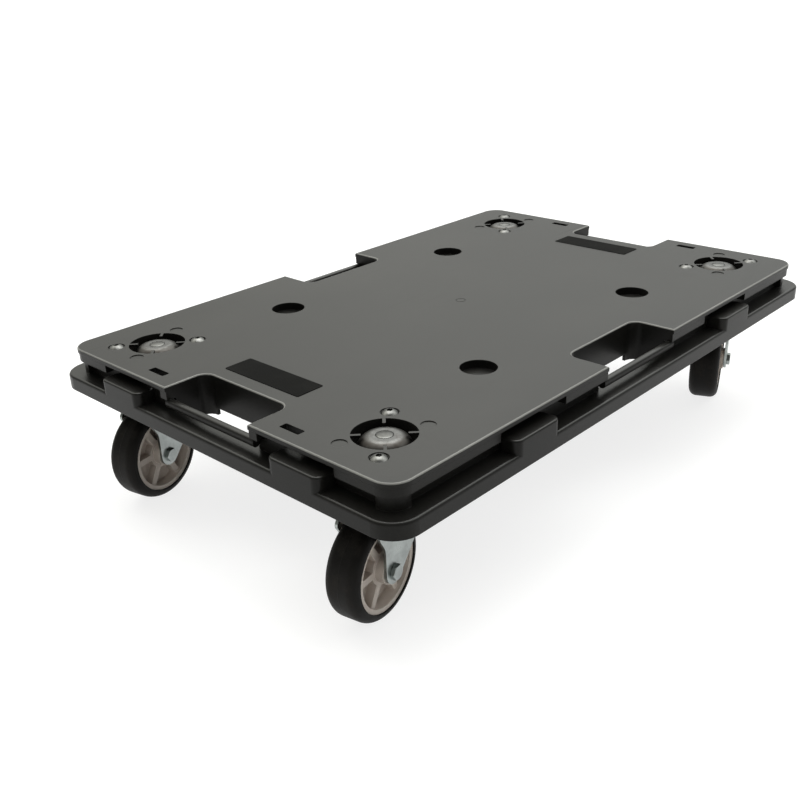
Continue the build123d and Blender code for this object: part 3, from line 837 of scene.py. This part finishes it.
@dataclass
class Studio:
    """White floor, soft light and the camera at the photograph's side."""

    lens_mm: float = 43.449
    sensor_mm: float = 36.0
    location: Point = (-0.80402, -0.67379, 0.52633)
    turn_deg: Point = (65.0717, 2.0124, -46.9474)
    floor_half: float = 40.0
    floor_bounce: float = 0.6
    floor_lit: float = 0.28
    floor_glow: float = 0.80
    left_tint: Colour = (1.0, 1.0, 0.92)
    right_tint: Colour = (0.98, 1.0, 0.97)
    ahead: tuple[float, float] = (0.766, 0.643)
    behind_level: float = 2.9
    left_loss: float = 0.9
    crown_level: float = 2.0
    horizon_level: float = 0.8
    sky_level: float = 0.2
    room_level: float = 0.2
    lamps: tuple[SoftLamp, ...] = (SoftLamp("overhead", (0.3, 0.4, 2.6), 22.0),
                                   SoftLamp("front_fill", (-2.2, -1.6, 1.5), 1.5))

    def add_floor(self) -> None:
        """Large white floor that keeps the shadow and shows as white to the camera.

        What the camera, mirrors and glass see is a dim diffuse floor plus a steady glow. All other
        rays meet a plain diffuse floor.
        """
        half = self.floor_half
        mesh = bpy.data.meshes.new("studio_floor")
        mesh.from_pydata([(-half, -half, 0), (half, -half, 0), (half, half, 0), (-half, half, 0)], [],
                         [(0, 1, 2, 3)])
        floor = bpy.data.objects.new("studio_floor", mesh)
        bpy.context.scene.collection.objects.link(floor)
        material = bpy.data.materials.new("studio_floor")
        material.use_nodes = True
        graph = Graph(material.node_tree)
        path = graph.node("LightPath")
        seen = graph.wrap(path.outputs["Is Camera Ray"])
        for ray in ("Is Glossy Ray", "Is Transmission Ray"):
            seen = seen.math("MAXIMUM", path.outputs[ray])
        lit = graph.node("BsdfDiffuse", None, {"Color": (self.floor_bounce,) * 3})
        part = graph.node("BsdfDiffuse", None, {"Color": (self.floor_lit,) * 3})
        glow = graph.node("Emission", None, {"Color": (1, 1, 1), "Strength": self.floor_glow})
        shown = graph.node("AddShader", None, {0: part.outputs[0], 1: glow.outputs[0]})
        mixed = graph.node("MixShader", None, {0: seen, 1: lit.outputs[0], 2: shown.outputs[0]})
        graph.node("OutputMaterial", None, {"Surface": mixed.outputs[0]})
        mesh.materials.append(material)

    def add_world(self) -> None:
        """Soft room: white at the horizon, dim on the camera's side, bright behind the dolly and overhead.

        The level is a sum of smooth steps of the direction's rise, of how far it points ahead of the
        camera and of how far it points to the camera's right.
        """
        world = bpy.data.worlds.new("studio_world")
        bpy.context.scene.world = world
        world.use_nodes = True
        graph = Graph(world.node_tree)
        way = graph.node("SeparateXYZ", None, {0: graph.node("TexCoord").outputs["Generated"]})
        rise = graph.wrap(way.outputs["Z"])
        along, across = graph.wrap(way.outputs["X"]), graph.wrap(way.outputs["Y"])
        right = along - across
        away = along * self.ahead[0] + across * self.ahead[1]
        tint = graph.blend(right.step(-1.2, 1.2), self.left_tint, self.right_tint)
        bright = self.behind_level - right.step(0.1, -0.5) * self.left_loss
        behind = rise.step(0.1, 0.75) * away.step(-0.1, 0.6) * bright
        crown = rise.step(0.55, 0.85) * away.step(-0.4, 0.3) * self.crown_level
        horizon = rise.step(0.14, 0.06) * self.horizon_level
        sky = rise.step(0.1, 0.9) * self.sky_level
        level = behind + crown + horizon + sky + self.room_level
        glow = graph.node("Background", None, {"Color": tint, "Strength": level})
        graph.node("OutputWorld", None, {"Surface": glow.outputs[0]})

    def add_camera(self) -> None:
        """Camera at the photograph's place."""
        data = bpy.data.cameras.new("photo_camera")
        data.lens, data.sensor_width = self.lens_mm, self.sensor_mm
        made = bpy.data.objects.new("photo_camera", data)
        made.location = self.location
        made.rotation_euler = [math.radians(angle) for angle in self.turn_deg]
        bpy.context.scene.collection.objects.link(made)
        bpy.context.scene.camera = made

    def build(self) -> None:
        """Set up the whole studio."""
        bpy.context.scene.view_settings.view_transform = "Standard"
        self.add_camera()
        self.add_floor()
        self.add_world()
        for lamp in self.lamps:
            lamp.hang()


def main() -> None:
    """Load the frame, dress every node and set up the studio."""
    logging.basicConfig(level=logging.INFO, format="%(message)s")
    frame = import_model()
    Studio().build()
    steel, dark = ZINC_STEEL.material(), PLATE_STEEL.material()
    bright, bush = BRIGHT_STEEL.material(), BUSH_PLASTIC.material()
    deck = Deck()
    deck.dress(frame, bright)
    deck.add_threads(bright)
    for corner, heading in HEADINGS_DEG.items():
        caster = Caster(corner, heading)
        caster.dress(frame, steel, dark, bright, bush)
        caster.add_thread(steel)
        LOG.info("dressed caster %s", corner.value)


if __name__ == "__main__":
    main()
